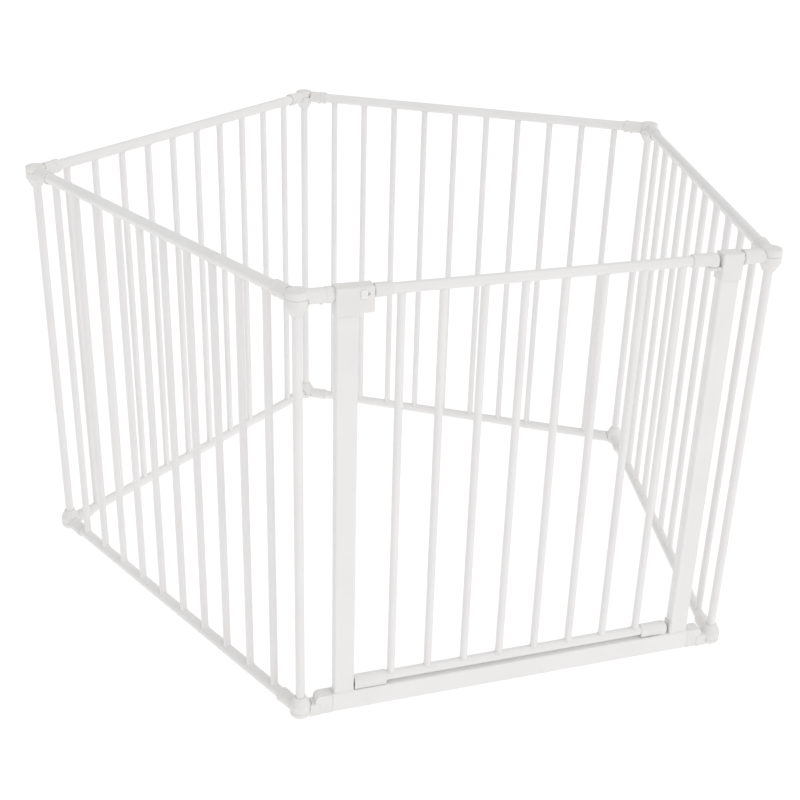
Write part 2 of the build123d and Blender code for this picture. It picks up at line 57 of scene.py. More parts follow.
def middle(node):
    low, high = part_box(node)
    return (low + high) / 2


def top_of(node):
    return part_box(node)[1].z


def bottom_of(node):
    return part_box(node)[0].z


CORNER = {key: middle(f"corner_post_{key}") * Vector((1, 1, 0)) for key in "abcde"}
SECTION_ENDS = {
    "left": ("a", "b"),
    "gate": ("b", "c"),
    "right": ("c", "d"),
    "back": ("d", "e"),
    "back_left": ("e", "a"),
}
SECTION = (CORNER["c"] - CORNER["b"]).length
BODY = {name: f"{name}_panel" for name in SECTION_ENDS}
BODY["gate"] = "gate_frame"

RAIL_LOW = middle("left_bottom_rail").z
RAIL_HIGH = middle("left_top_rail").z
LEAF_LOW = middle("leaf_bottom_rail").z
LEAF_HIGH = middle("leaf_top_rail").z
RAIL_R = top_of("left_top_rail") - RAIL_HIGH
LEAF_RAIL_R = top_of("leaf_top_rail") - LEAF_HIGH
BAR_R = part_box("leaf_bars")[1].y - middle("leaf_bars").y
BAR_COUNT = 10
BAR_PITCH = 65 * MM
LEAF_BAR_COUNT = 8
LEAF_BAR_PITCH = 61 * MM

HUB_TOP = top_of("gate_upper_fittings")
SLEEVE_R = HUB_TOP - RAIL_HIGH
HUB_R = 16.5 * MM
BORE_R = 7.08 * MM
KNUCKLE_GAP = 0.3 * MM
CLEARANCE_R = HUB_R + 0.6 * MM
SLEEVE_ROOT = 12 * MM  # sleeve's start, inside its own knuckle
SLEEVE_END = 48 * MM
SOCKET_GAP = 0.1 * MM
COLLAR_START = 39 * MM
COLLAR_RISE = 0.7 * MM
CONE_HEIGHT = 14 * MM
CONE_NECK_R = 9 * MM

POST_WIDTH = 32 * MM
POST_DEPTH = 18 * MM
POST_CORNER = 3 * MM
THRESHOLD_TOP = top_of("threshold")
THRESHOLD_BOTTOM = bottom_of("threshold")
THRESHOLD_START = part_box("threshold")[0].x - CORNER["b"].x
THRESHOLD_DEPTH = 20 * MM

# ---------------------------------------------------------------- materials


def new_material(name):
    material = bpy.data.materials.new(name)
    material.use_nodes = True
    return material, material.node_tree, material.node_tree.nodes["Principled BSDF"]


def noise_of(tree, scale, detail=2.0):
    """Noise of so many grains per metre, fixed to the piece."""
    place = tree.nodes.new("ShaderNodeTexCoord")
    grain = tree.nodes.new("ShaderNodeTexNoise")
    grain.inputs["Scale"].default_value = scale
    grain.inputs["Detail"].default_value = detail
    tree.links.new(place.outputs["Object"], grain.inputs["Vector"])
    return grain.outputs["Fac"]


def spread(tree, value, low, high):
    """The middle of a noise's range, stretched from low to high."""
    ranged = tree.nodes.new("ShaderNodeMapRange")
    ranged.inputs["From Min"].default_value = 0.3
    ranged.inputs["From Max"].default_value = 0.7
    ranged.inputs["To Min"].default_value = low
    ranged.inputs["To Max"].default_value = high
    tree.links.new(value, ranged.inputs["Value"])
    return ranged.outputs["Result"]


def colour(tree, shader, factor, first, second):
    """Base colour that runs from the first to the second as factor goes from 0 to 1."""
    mix = tree.nodes.new("ShaderNodeMix")
    mix.data_type = "RGBA"
    mix.inputs["A"].default_value = (*first, 1)
    mix.inputs["B"].default_value = (*second, 1)
    tree.links.new(factor, mix.inputs["Factor"])
    tree.links.new(mix.outputs["Result"], shader.inputs["Base Color"])


def soft_edges(tree, radius):
    """Normals that run round the edges of a moulding or a coat of paint."""
    edge = tree.nodes.new("ShaderNodeBevel")
    edge.samples = 4
    edge.inputs["Radius"].default_value = radius
    return edge.outputs["Normal"]


def bump(tree, height, distance, strength, normal=None):
    relief = tree.nodes.new("ShaderNodeBump")
    relief.inputs["Distance"].default_value = distance
    relief.inputs["Strength"].default_value = strength
    tree.links.new(height, relief.inputs["Height"])
    if normal:
        tree.links.new(normal, relief.inputs["Normal"])
    return relief.outputs["Normal"]


def powder_coat():
    """Satin white powder coat on steel: faint orange peel and a slightly uneven tone."""
    material, tree, shader = new_material("powder_coat")
    cloud = spread(tree, noise_of(tree, 9), 0, 1)
    colour(tree, shader, cloud, (0.83, 0.82, 0.815), (0.865, 0.855, 0.85))
    tree.links.new(spread(tree, noise_of(tree, 60), 0.34, 0.46), shader.inputs["Roughness"])
    peel = bump(tree, noise_of(tree, 420, 1.0), 0.06 * MM, 0.5, soft_edges(tree, 0.5 * MM))
    fine = bump(tree, noise_of(tree, 2600, 1.0), 0.01 * MM, 0.4, peel)
    tree.links.new(fine, shader.inputs["Normal"])
    shader.inputs["Coat Weight"].default_value = 0.12
    shader.inputs["Coat Roughness"].default_value = 0.3
    return material


def moulded_plastic():
    """Matt off-white moulding with a spark-eroded grain and the odd flow mark."""
    material, tree, shader = new_material("grained_moulding")
    flow = spread(tree, noise_of(tree, 25, 4.0), 0, 1)
    colour(tree, shader, flow, (0.81, 0.80, 0.79), (0.84, 0.83, 0.82))
    tree.links.new(spread(tree, noise_of(tree, 900), 0.46, 0.62), shader.inputs["Roughness"])
    sink = bump(tree, noise_of(tree, 90, 1.0), 0.08 * MM, 0.35, soft_edges(tree, 0.8 * MM))
    grain = bump(tree, noise_of(tree, 2200, 1.5), 0.008 * MM, 0.5, sink)
    tree.links.new(grain, shader.inputs["Normal"])
    shader.inputs["Specular IOR Level"].default_value = 0.45
    return material


def button_plastic():
    """Smoother and lighter moulding, rubbed a little glossier in patches by thumbs."""
    material, tree, shader = new_material("smooth_moulding")
    rubbed = spread(tree, noise_of(tree, 160, 3.0), 0, 1)
    colour(tree, shader, rubbed, (0.88, 0.88, 0.87), (0.92, 0.92, 0.91))
    tree.links.new(spread(tree, noise_of(tree, 160, 3.0), 0.38, 0.22), shader.inputs["Roughness"])
    grain = bump(tree, noise_of(tree, 1800, 2.0), 0.01 * MM, 0.4, soft_edges(tree, 0.3 * MM))
    tree.links.new(grain, shader.inputs["Normal"])
    return material


def foot_rubber():
    """Matt light grey rubber, mottled and a little dusty."""
    material, tree, shader = new_material("grey_rubber")
    dust = spread(tree, noise_of(tree, 220, 5.0), 0, 1)
    colour(tree, shader, dust, (0.50, 0.50, 0.49), (0.60, 0.60, 0.58))
    tree.links.new(spread(tree, noise_of(tree, 500), 0.75, 0.92), shader.inputs["Roughness"])
    tree.links.new(bump(tree, noise_of(tree, 1400, 4.0), 0.06 * MM, 0.7), shader.inputs["Normal"])
    return material


def pin_steel():
    """Zinc-plated steel with a cloudy bloom and fine drawing marks."""
    material, tree, shader = new_material("zinc_steel")
    bloom = spread(tree, noise_of(tree, 300, 4.0), 0, 1)
    colour(tree, shader, bloom, (0.58, 0.59, 0.60), (0.70, 0.70, 0.69))
    tree.links.new(spread(tree, noise_of(tree, 700, 3.0), 0.26, 0.42), shader.inputs["Roughness"])
    tree.links.new(bump(tree, noise_of(tree, 3000, 2.0), 0.01 * MM, 0.5), shader.inputs["Normal"])
    shader.inputs["Metallic"].default_value = 1.0
    return material


MATERIALS = {
    "white_steel": powder_coat(),
    "moulded_plastic": moulded_plastic(),
    "button_plastic": button_plastic(),
    "foot_rubber": foot_rubber(),
    "pin_steel": pin_steel(),
}


def finish_cad_nodes():
    """Every CAD node takes the material of its slot in the record."""
    for subpart in frame["record"]["subparts"]:
        slots = frame["nodes"][subpart["node"]].data.materials
        slots.clear()
        slots.append(MATERIALS[subpart["material_slot"]])


# ---------------------------------------------------------------- mesh helpers
ARC_STEPS = 5
TURN_STEPS = 64
SMALL_TURN_STEPS = 32
CUTTER_EDGE = 0.05 * MM
SHARP_ANGLE = radians(40)


def rounded(corners):
    """Closed outline whose corners, each (x, y, radius), are turned into arcs."""
    points = []
    for index, (x, y, radius) in enumerate(corners):
        here = Vector((x, y))
        if radius == 0:
            points.append(here)
            continue
        before = (Vector(corners[index - 1][:2]) - here).normalized()
        after = (Vector(corners[(index + 1) % len(corners)][:2]) - here).normalized()
        half = before.angle(after) / 2
        centre = here + (before + after).normalized() * radius / sin(half)
        start = here + before * radius / tan(half) - centre
        end = here + after * radius / tan(half) - centre
        sweep = pi - 2 * half
        for step in range(ARC_STEPS + 1):
            part = step / ARC_STEPS
            blend = start * sin((1 - part) * sweep) + end * sin(part * sweep)
            points.append(centre + blend / sin(sweep))
    return points


def rectangle(start_x, start_y, end_x, end_y, radius=0):
    """Outline of a rectangle, given by two opposite corners, with all four rounded."""
    corners = [(start_x, start_y), (end_x, start_y), (end_x, end_y), (start_x, end_y)]
    return rounded([(x, y, radius) for x, y in corners])


def add_lathe(solid, profile, place, steps=TURN_STEPS):
    """A closed profile of (radius, along) points, turned about place's z axis."""
    rings = []
    for step in range(steps):
        turn = 2 * pi * step / steps
        ring = [place @ Vector((p.x * cos(turn), p.x * sin(turn), p.y)) for p in profile]
        rings.append([solid.verts.new(point) for point in ring])
    for ring, following in zip(rings, rings[1:] + rings[:1]):
        for index in range(len(profile)):
            after = (index + 1) % len(profile)
            solid.faces.new((ring[index], following[index], following[after], ring[after]))
    bmesh.ops.remove_doubles(solid, verts=solid.verts, dist=0.001 * MM)


def add_prism(solid, outline, place, depth, edge):
    """An outline in place's xy plane, half of its depth on each side, its edges rounded."""
    part = bmesh.new()
    near, far = ([part.verts.new((p[0], p[1], side * depth / 2)) for p in outline] for side in (1, -1))
    part.faces.new(near)
    part.faces.new(far[::-1])
    for index in range(len(outline)):
        before = index - 1
        part.faces.new((near[before], far[before], far[index], near[index]))
    bmesh.ops.recalc_face_normals(part, faces=part.faces)
    sharp = [e for e in part.edges if e.calc_face_angle() > SHARP_ANGLE]
    bmesh.ops.bevel(part, geom=sharp, offset=edge, segments=4, profile=0.5, affect="EDGES")
    part.transform(place)
    join(solid, part)


def join(solid, part):
    mesh = bpy.data.meshes.new("part")
    part.to_mesh(mesh)
    part.free()
    solid.from_mesh(mesh)
    bpy.data.meshes.remove(mesh)


def add_tube(solid, path, outward, radius, sides=8):
    """A closed bead along path; outward gives the direction that its section starts from."""
    rings = []
    count = len(path)
    for index, point in enumerate(path):
        along = (path[(index + 1) % count] - path[index - 1]).normalized()
        first = (outward[index] - along * outward[index].dot(along)).normalized()
        second = along.cross(first)
        size = radius * (1 + 0.16 * noise.noise(point / (2.2 * MM)))
        turns = [2 * pi * side / sides for side in range(sides)]
        rings.append([solid.verts.new(point + (first * cos(t) + second * sin(t)) * size) for t in turns])
    for ring, following in zip(rings, rings[1:] + rings[:1]):
        for side in range(sides):
            after = (side + 1) % sides
            solid.faces.new((ring[side], ring[after], following[after], following[side]))


def cut_away(solid, tool):
    """What is left of solid outside tool."""
    objects = []
    for part in (solid, tool):
        bmesh.ops.recalc_face_normals(part, faces=part.faces)
        mesh = bpy.data.meshes.new("part")
        part.to_mesh(mesh)
        part.free()
        objects.append(bpy.data.objects.new("part", mesh))
        scene.collection.objects.link(objects[-1])
    kept, removed = objects
    modifier = kept.modifiers.new("cut", "BOOLEAN")
    modifier.operation = "DIFFERENCE"
    modifier.solver = "EXACT"
    modifier.object = removed
    evaluated = kept.evaluated_get(bpy.context.evaluated_depsgraph_get())
    result = bmesh.new()
    result.from_mesh(evaluated.to_mesh())
    for obj in objects:
        bpy.data.meshes.remove(obj.data)
    return result


def make_piece(name, solid, body, slot, replaced=()):
    bmesh.ops.recalc_face_normals(solid, faces=solid.faces)
    mesh = bpy.data.meshes.new(name)
    solid.to_mesh(mesh)
    solid.free()
    mesh.shade_smooth()
    mesh.set_sharp_from_angle(angle=SHARP_ANGLE)
    mesh.materials.append(MATERIALS[slot])
    piece = bpy.data.objects.new(name, mesh)
    scene.collection.objects.link(piece)
    flatten = piece.modifiers.new("flat faces stay flat", "WEIGHTED_NORMAL")
    flatten.keep_sharp = True
    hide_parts(*replaced)
    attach(piece, body)


def place_at(first, last, height):
    """Matrix at a corner's axis, x towards the section's other corner and z up."""
    along = (CORNER[last] - CORNER[first]).normalized()
    place = Matrix((along, UP.cross(along), UP)).transposed().to_4x4()
    place.translation = CORNER[first] + UP * height
    return place


# ---------------------------------------------------------------- corner fittings
RIM_ROUND = 3.4 * MM
BASE_ROUND = 7.5 * MM  # rim of the hubs that stand on the floor
CONE_ROUND = 5 * MM
LAP_ROUND = 0.35 * MM
MOUTH_ROUND = 0.9 * MM
SHOE_START = 22 * MM
SHOE_ROUND = 9 * MM
FOOT_GROOVE = 0.5 * MM
SCREW_OFFSET = 33 * MM
SCREW_R = 3 * MM
SCREW_RISE = 1.5 * MM
RECESS_REACH = 1.8 * MM
RECESS_HALF = 0.4 * MM
RECESS_DEPTH = 0.9 * MM


def add_knuckle(solid, place, half, inner):
    """Half of a hub, on the side that half says; the inner one tapers on to the post."""
    near = half * KNUCKLE_GAP / 2
    far = half * SLEEVE_R
    corners = [(BORE_R, near, 0), (HUB_R, near, LAP_ROUND)]
    if inner:
        neck = far + half * CONE_HEIGHT
        corners += [(HUB_R, far, CONE_ROUND), (CONE_NECK_R, neck, MM), (BORE_R, neck, 0)]
    else:
        corners += [(HUB_R, far, RIM_ROUND if half > 0 else BASE_ROUND), (BORE_R, far, 0)]
    add_lathe(solid, rounded(corners), place)


def neighbour_room(place, half, opens):
    """What the neighbour's knuckle needs clear: round, or straight where the ring opens."""
    room = bmesh.new()
    near = half * KNUCKLE_GAP / 2
    far = -half * 2 * SLEEVE_R
    if opens:
        side = CLEARANCE_R
        level = Matrix.Translation(UP * (near + far) / 2)
        add_prism(room, rectangle(-side, -side, side, side), place @ level, abs(near - far), LAP_ROUND / 4)
    else:
        profile = rounded([(0, near, 0), (CLEARANCE_R, near, 0), (CLEARANCE_R, far, 0), (0, far, 0)])
        add_lathe(room, profile, place)
    return room


def add_sleeve_joint(solid, place, half, inner, opens):
    """One knuckle with its rail sleeve, which ends in a low collar."""
    sleeve = bmesh.new()
    collar = SLEEVE_R + COLLAR_RISE
    socket = RAIL_R + SOCKET_GAP
    floor = SLEEVE_END - 4 * MM
    profile = rounded([
        (0, SLEEVE_ROOT, 0),
        (SLEEVE_R, SLEEVE_ROOT, 0),
        (SLEEVE_R, COLLAR_START, MM),
        (collar, COLLAR_START + COLLAR_RISE, MM),
        (collar, SLEEVE_END, MOUTH_ROUND),
        (socket, SLEEVE_END, LAP_ROUND),
        (socket, floor, 0),
        (0, floor, 0),
    ])
    add_lathe(sleeve, profile, place @ TURN_TO_X)
    join(solid, cut_away(sleeve, neighbour_room(place, half, opens)))
    add_knuckle(solid, place, half, inner)


def add_shoe_joint(solid, place, half, inner):
    """A lower gate knuckle with the moulded end of the threshold."""
    base = THRESHOLD_BOTTOM - RAIL_LOW
    top = THRESHOLD_TOP - RAIL_LOW
    shoe = bmesh.new()
    outline = rounded([
        (SHOE_START, base, 2 * MM),
        (THRESHOLD_START, base, 0),
        (THRESHOLD_START, top, 0),
        (SHOE_START, top, SHOE_ROUND),
    ])
    add_prism(shoe, outline, place @ STAND_UP, THRESHOLD_DEPTH, MM)
    shoe = cut_away(shoe, neighbour_room(place, half, False))
    root = bmesh.new()
    root_end = SHOE_START + SHOE_ROUND
    outline = rectangle(SLEEVE_ROOT, -SLEEVE_R, root_end, SLEEVE_R)
    add_prism(root, outline, place @ STAND_UP, 2 * SLEEVE_R, 2 * MM)
    join(solid, shoe)
    join(solid, cut_away(root, neighbour_room(place, half, False)))
    add_knuckle(solid, place, half, inner)


def build_corner_joints():
    """Upper and lower fittings of every section, each pair one moulding per end."""
    for name, (first, last) in SECTION_ENDS.items():
        for level, height, upward in (("upper", RAIL_HIGH, 1), ("lower", RAIL_LOW, -1)):
            solid = bmesh.new()
            for corner, other, inner in ((first, last, False), (last, first, True)):
                place = place_at(corner, other, height)
                half = -upward if inner else upward
                if name == "gate" and level == "lower":
                    add_shoe_joint(solid, place, half, inner)
                else:
                    add_sleeve_joint(solid, place, half, inner, corner == "e")
            make_piece(
                f"{name}_{level}_joints", solid, BODY[name], "moulded_plastic", [f"{name}_{level}_fittings"]
            )


def build_caps_and_feet():
    """Domed caps on the corner posts, and ribbed rubber pads under the hubs."""
    for key in "abcde":
        node = f"post_cap_{key}"
        radius = (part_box(node)[1].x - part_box(node)[0].x) / 2
        rise = top_of(node) - HUB_TOP
        profile = rounded([
            (0, -MM, 0),
            (radius - MM, -MM, 0),
            (radius, 0, 0),
            (radius, 0.6 * rise, 0.5 * rise),
            (0.35 * radius, rise, MM),
            (0.28 * radius, 0.4 * rise, 0.3 * MM),
            (0, 0.4 * rise, 0),
        ])
        cap = bmesh.new()
        add_lathe(cap, profile, Matrix.Translation(CORNER[key] + UP * HUB_TOP))
        body = "back_left_panel" if key == "e" else f"corner_rod_{key}"
        make_piece(f"cap_{key}", cap, body, "moulded_plastic", [node])
    for name, ends in SECTION_ENDS.items():
        node = f"{name}_foot_pad"
        radius = (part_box(node)[1].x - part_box(node)[0].x) / 2
        height = top_of(node)
        pad = bmesh.new()
        profile = rounded([
            (0, 0, 0),
            (0.45 * radius, 0, 0.3 * MM),
            (0.52 * radius, FOOT_GROOVE, 0),
            (0.58 * radius, FOOT_GROOVE, 0),
            (0.65 * radius, 0, 0.3 * MM),
            (radius, 0, 0.7 * MM),
            (radius, height, 0.3 * MM),
            (0, height, 0),
        ])
        add_lathe(pad, profile, Matrix.Translation(CORNER[ends[0]]))
        make_piece(f"{name}_foot", pad, BODY[name], "foot_rubber", [node])


def add_screw(solid, place):
    """Pan-head screw with a cross recess, its head along place's z axis."""
    head = bmesh.new()
    profile = rounded([
        (0, -MM, 0),
        (SCREW_R, -MM, 0),
        (SCREW_R, 0.8 * SCREW_RISE, 0.9 * MM),
        (0, SCREW_RISE, 0),
    ])
    add_lathe(head, profile, place, SMALL_TURN_STEPS)
    cutter = 2 * MM
    raised = place @ Matrix.Translation(UP * (SCREW_RISE - RECESS_DEPTH + cutter / 2))
    for turn in (0, 90):
        slot = bmesh.new()
        outline = rectangle(-RECESS_REACH, -RECESS_HALF, RECESS_REACH, RECESS_HALF)
        add_prism(slot, outline, raised @ Matrix.Rotation(radians(turn), 4, "Z"), cutter, CUTTER_EDGE)
        head = cut_away(head, slot)
    join(solid, head)


def build_screws():
    """A screw under each upper sleeve holds its rail."""
    facing_down = Matrix.Rotation(pi, 4, "X")
    for name, (first, last) in SECTION_ENDS.items():
        solid = bmesh.new()
        for corner, other in ((first, last), (last, first)):
            place = place_at(corner, other, RAIL_HIGH)
            add_screw(solid, place @ Matrix.Translation((SCREW_OFFSET, 0, -SLEEVE_R)) @ facing_down)
        make_piece(f"{name}_rail_screws", solid, BODY[name], "pin_steel")


# ---------------------------------------------------------------- welds
BEAD_R = 1.3 * MM
BEAD_STEPS = 28


def add_saddle_weld(solid, place, upward, rail_r):
    """Bead round a bar where it meets a rail; place is at the rail's centre."""
    path = []
    outward = []
    for step in range(BEAD_STEPS):
        turn = 2 * pi * step / BEAD_STEPS
        across = BAR_R * sin(turn)
        rise = upward * sqrt(rail_r**2 - across**2)
        path.append(place @ Vector((BAR_R * cos(turn), across, rise)))
        outward.append(place.to_3x3() @ Vector((cos(turn), sin(turn), 0)))
    add_tube(solid, path, outward, BEAD_R)


def build_bar_welds():
    fixed = (BAR_COUNT, BAR_PITCH, RAIL_LOW, RAIL_HIGH, RAIL_R)
    rows = {name: fixed for name in SECTION_ENDS if name != "gate"}
    rows["gate"] = (LEAF_BAR_COUNT, LEAF_BAR_PITCH, LEAF_LOW, LEAF_HIGH, LEAF_RAIL_R)
    for name, (count, pitch, low, high, rail_r) in rows.items():
        solid = bmesh.new()
        for height, upward in ((low, 1), (high, -1)):
            place = place_at(*SECTION_ENDS[name], height)
            for index in range(count):
                along = SECTION / 2 + (index - (count - 1) / 2) * pitch
                add_saddle_weld(solid, place @ Matrix.Translation((along, 0, 0)), upward, rail_r)
        body = "gate_leaf" if name == "gate" else BODY[name]
        make_piece(f"{name}_bar_welds", solid, body, "white_steel")


def build_post_welds():
    """Bead round each gate post where it stands on the threshold."""
    solid = bmesh.new()
    half_width = POST_WIDTH / 2
    half_depth = POST_DEPTH / 2
    outline = rectangle(half_width, half_depth, -half_width, -half_depth, POST_CORNER)
    for node in ("latch_post", "hinge_post"):
        foot = middle(node)
        foot.z = THRESHOLD_TOP
        path = [foot + Vector((p.x, p.y, 0)) for p in outline]
        add_tube(solid, path, [point - foot for point in path], BEAD_R)
    make_piece("post_welds", solid, "gate_frame", "white_steel")


# ---------------------------------------------------------------- gate fittings
HOUSING_ROUND = 2.2 * MM
HOUSING_DEPTH = 24 * MM
HOUSING_WALL = 1.3 * MM
NOSE_DROP = 27 * MM
NOSE_SLOPE = 4 * MM
BOLT_R = 4 * MM
PIN_GAP = 0.08 * MM  # running clearance of the bolt and the hinge pins
BOLT_TRAVEL = 6 * MM
SLOT_HALF = 2.4 * MM
SLOT_ROUND = 2.3 * MM
SHUTTER_START = 7 * MM  # plate that closes the slot behind the button, from the button's centre
SHUTTER_END = 8.6 * MM
SHUTTER_HALF = 3.6 * MM
SHUTTER_THICKNESS = 1.2 * MM
SHUTTER_OFFSET = 9.6 * MM  # outwards from the gate's middle plane
SHUTTER_GAP = 0.3 * MM
SHUTTER_END_GAP = 0.4 * MM
BUTTON_THICKNESS = 2.2 * MM
BUTTON_ROUND = 1.6 * MM
RIDGE_RISE = 0.5 * MM
RIDGE_PITCH = 2.2 * MM
RIDGE_HALF = 0.5 * MM
RIDGE_INSET = 2.4 * MM
PEG_R = 2 * MM
HINGE_PIN_R = 4 * MM
LUG_R = 9.5 * MM
LUG_HEIGHT = 5 * MM
LUG_GAP = 0.5 * MM
LUG_EDGE = 0.8 * MM
EYE_RISE = 2 * MM  # a hinge eye's rim above the rail's centre
BLOCK_ROUND = 2 * MM


def gate_side(outward=0.0):
    """Upright plane so far outside the gate's middle, x the part frame's own and y the height."""
    return Matrix.Translation((0, CORNER["b"].y - outward, 0)) @ STAND_UP


def along_leaf(start, height):
    """Matrix whose z axis runs along a leaf rail's centre line, from x = start."""
    return Matrix.Translation((start, CORNER["b"].y, height)) @ TURN_TO_X


def add_round(solid, centre, radius, low, high, edge, bore=0.0):
    """An upright boss with rounded rims, and a bore where it needs one."""
    corners = [(bore, low, 0), (radius, low, edge), (radius, high, edge), (bore, high, 0)]
    add_lathe(solid, rounded(corners), Matrix.Translation((centre.x, centre.y, 0)))


def build_latch_housing():
    """Latch housing: a rounded box with a nose, a slot for the button's peg and the bolt's bore."""
    low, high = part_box("latch_housing")
    button = middle("latch_button")
    post_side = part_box("latch_post")[1].x + HOUSING_WALL
    nose = RAIL_HIGH - NOSE_DROP
    shell = bmesh.new()
    outline = rounded([
        (low.x, low.z, 0),
        (post_side, low.z, 0),
        (post_side + NOSE_SLOPE, nose, 1.5 * MM),
        (high.x, nose, 3 * MM),
        (high.x, high.z, 0),
        (low.x, high.z, 0),
    ])
    add_prism(shell, outline, gate_side(), HOUSING_DEPTH, HOUSING_ROUND)
    slot = bmesh.new()
    slot_end = button.x + BOLT_TRAVEL + SLOT_HALF
    outline = rectangle(
        button.x - SLOT_HALF, LEAF_HIGH - SLOT_HALF, slot_end, LEAF_HIGH + SLOT_HALF, SLOT_ROUND
    )
    add_prism(slot, outline, gate_side(HOUSING_DEPTH / 2), HOUSING_DEPTH, CUTTER_EDGE)
    cavity = bmesh.new()
    cavity_start = button.x - SHUTTER_START - SHUTTER_END_GAP
    cavity_end = button.x + SHUTTER_END + BOLT_TRAVEL + SHUTTER_END_GAP
    cavity_half = SHUTTER_HALF + SHUTTER_GAP
    outline = rectangle(cavity_start, LEAF_HIGH - cavity_half, cavity_end, LEAF_HIGH + cavity_half)
    cavity_depth = SHUTTER_THICKNESS + 2 * SHUTTER_GAP
    add_prism(cavity, outline, gate_side(SHUTTER_OFFSET), cavity_depth, CUTTER_EDGE)
    bore = bmesh.new()
    bore_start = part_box("latch_bolt")[0].x - 3 * MM
    bore_r = BOLT_R + PIN_GAP
    bore_end = high.x - bore_start
    flare = 1.2 * MM
    profile = rounded([
        (0, 0, 0),
        (bore_r, 0, 0),
        (bore_r, bore_end, 0),
        (BOLT_R + flare, bore_end + flare, 0),
        (0, bore_end + flare, 0),
    ])
    add_lathe(bore, profile, along_leaf(bore_start, LEAF_HIGH))
    case = cut_away(cut_away(cut_away(shell, slot), cavity), bore)
    make_piece("latch_case", case, "gate_frame", "moulded_plastic", ["latch_housing"])


def build_latch_button():
    """Thumb button: a rounded plate with three ridges, and its peg in the bolt."""
    low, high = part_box("latch_button")
    centre = middle("latch_button")
    face = low.y + BUTTON_THICKNESS / 2
    face_plane = Matrix.Translation((0, face, 0)) @ STAND_UP
    plate_plane = Matrix.Translation((0, face + RIDGE_RISE / 2, 0)) @ STAND_UP
    button = bmesh.new()
    outline = rectangle(low.x, low.z, high.x, high.z, BUTTON_ROUND)
    add_prism(button, outline, plate_plane, BUTTON_THICKNESS - RIDGE_RISE, 0.5 * MM)
    for step in (-1, 0, 1):
        x = centre.x + step * RIDGE_PITCH
        ridge = rectangle(x - RIDGE_HALF, low.z + RIDGE_INSET, x + RIDGE_HALF, high.z - RIDGE_INSET)
        add_prism(button, ridge, face_plane, BUTTON_THICKNESS, 0.3 * MM)
    shutter_end = centre.x + SHUTTER_END
    shutter = rectangle(
        centre.x - SHUTTER_START, centre.z - SHUTTER_HALF, shutter_end, centre.z + SHUTTER_HALF
    )
    add_prism(button, shutter, gate_side(SHUTTER_OFFSET), SHUTTER_THICKNESS, 0.2 * MM)
    inwards = Matrix.Translation((centre.x, face, centre.z)) @ Matrix.Rotation(radians(-90), 4, "X")
    add_lathe(button, rectangle(0, 0, PEG_R, high.y - face), inwards, SMALL_TURN_STEPS)
    make_piece("thumb_button", button, "latch", "button_plastic", ["latch_button"])


def build_hinge_cap():
    """Cap on the hinge post, with the lug that carries the upper pin."""
    low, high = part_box("hinge_cap")
    pin = middle("leaf_hinge_pins")
    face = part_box("hinge_post")[0].x - HOUSING_WALL
    lug_high = bottom_of("leaf_upper_hinge_sleeve") - LUG_GAP
    lug_low = lug_high - LUG_HEIGHT
    cap = bmesh.new()
    add_prism(cap, rectangle(face, low.z, high.x, high.z), gate_side(), HOUSING_DEPTH, HOUSING_ROUND)
    add_round(cap, pin, LUG_R, lug_low, lug_high, LUG_EDGE, HINGE_PIN_R + PIN_GAP)
    web = rectangle(pin.x + HINGE_PIN_R + MM, lug_low, face + 2 * MM, lug_high)
    add_prism(cap, web, gate_side(), 2 * LUG_R - 0.4 * MM, LUG_EDGE)
    make_piece("hinge_post_cap", cap, "gate_frame", "moulded_plastic", ["hinge_cap"])


def add_leaf_sleeve(solid, start, end, height, end_round):
    """Sleeve on a leaf rail from start to end, closed inside."""
    radius = top_of("leaf_latch_sleeve") - LEAF_HIGH
    profile = rounded([(0, start, 0), (radius, start, MOUTH_ROUND), (radius, end, end_round), (0, end, 0)])
    add_lathe(solid, profile, along_leaf(0, height))


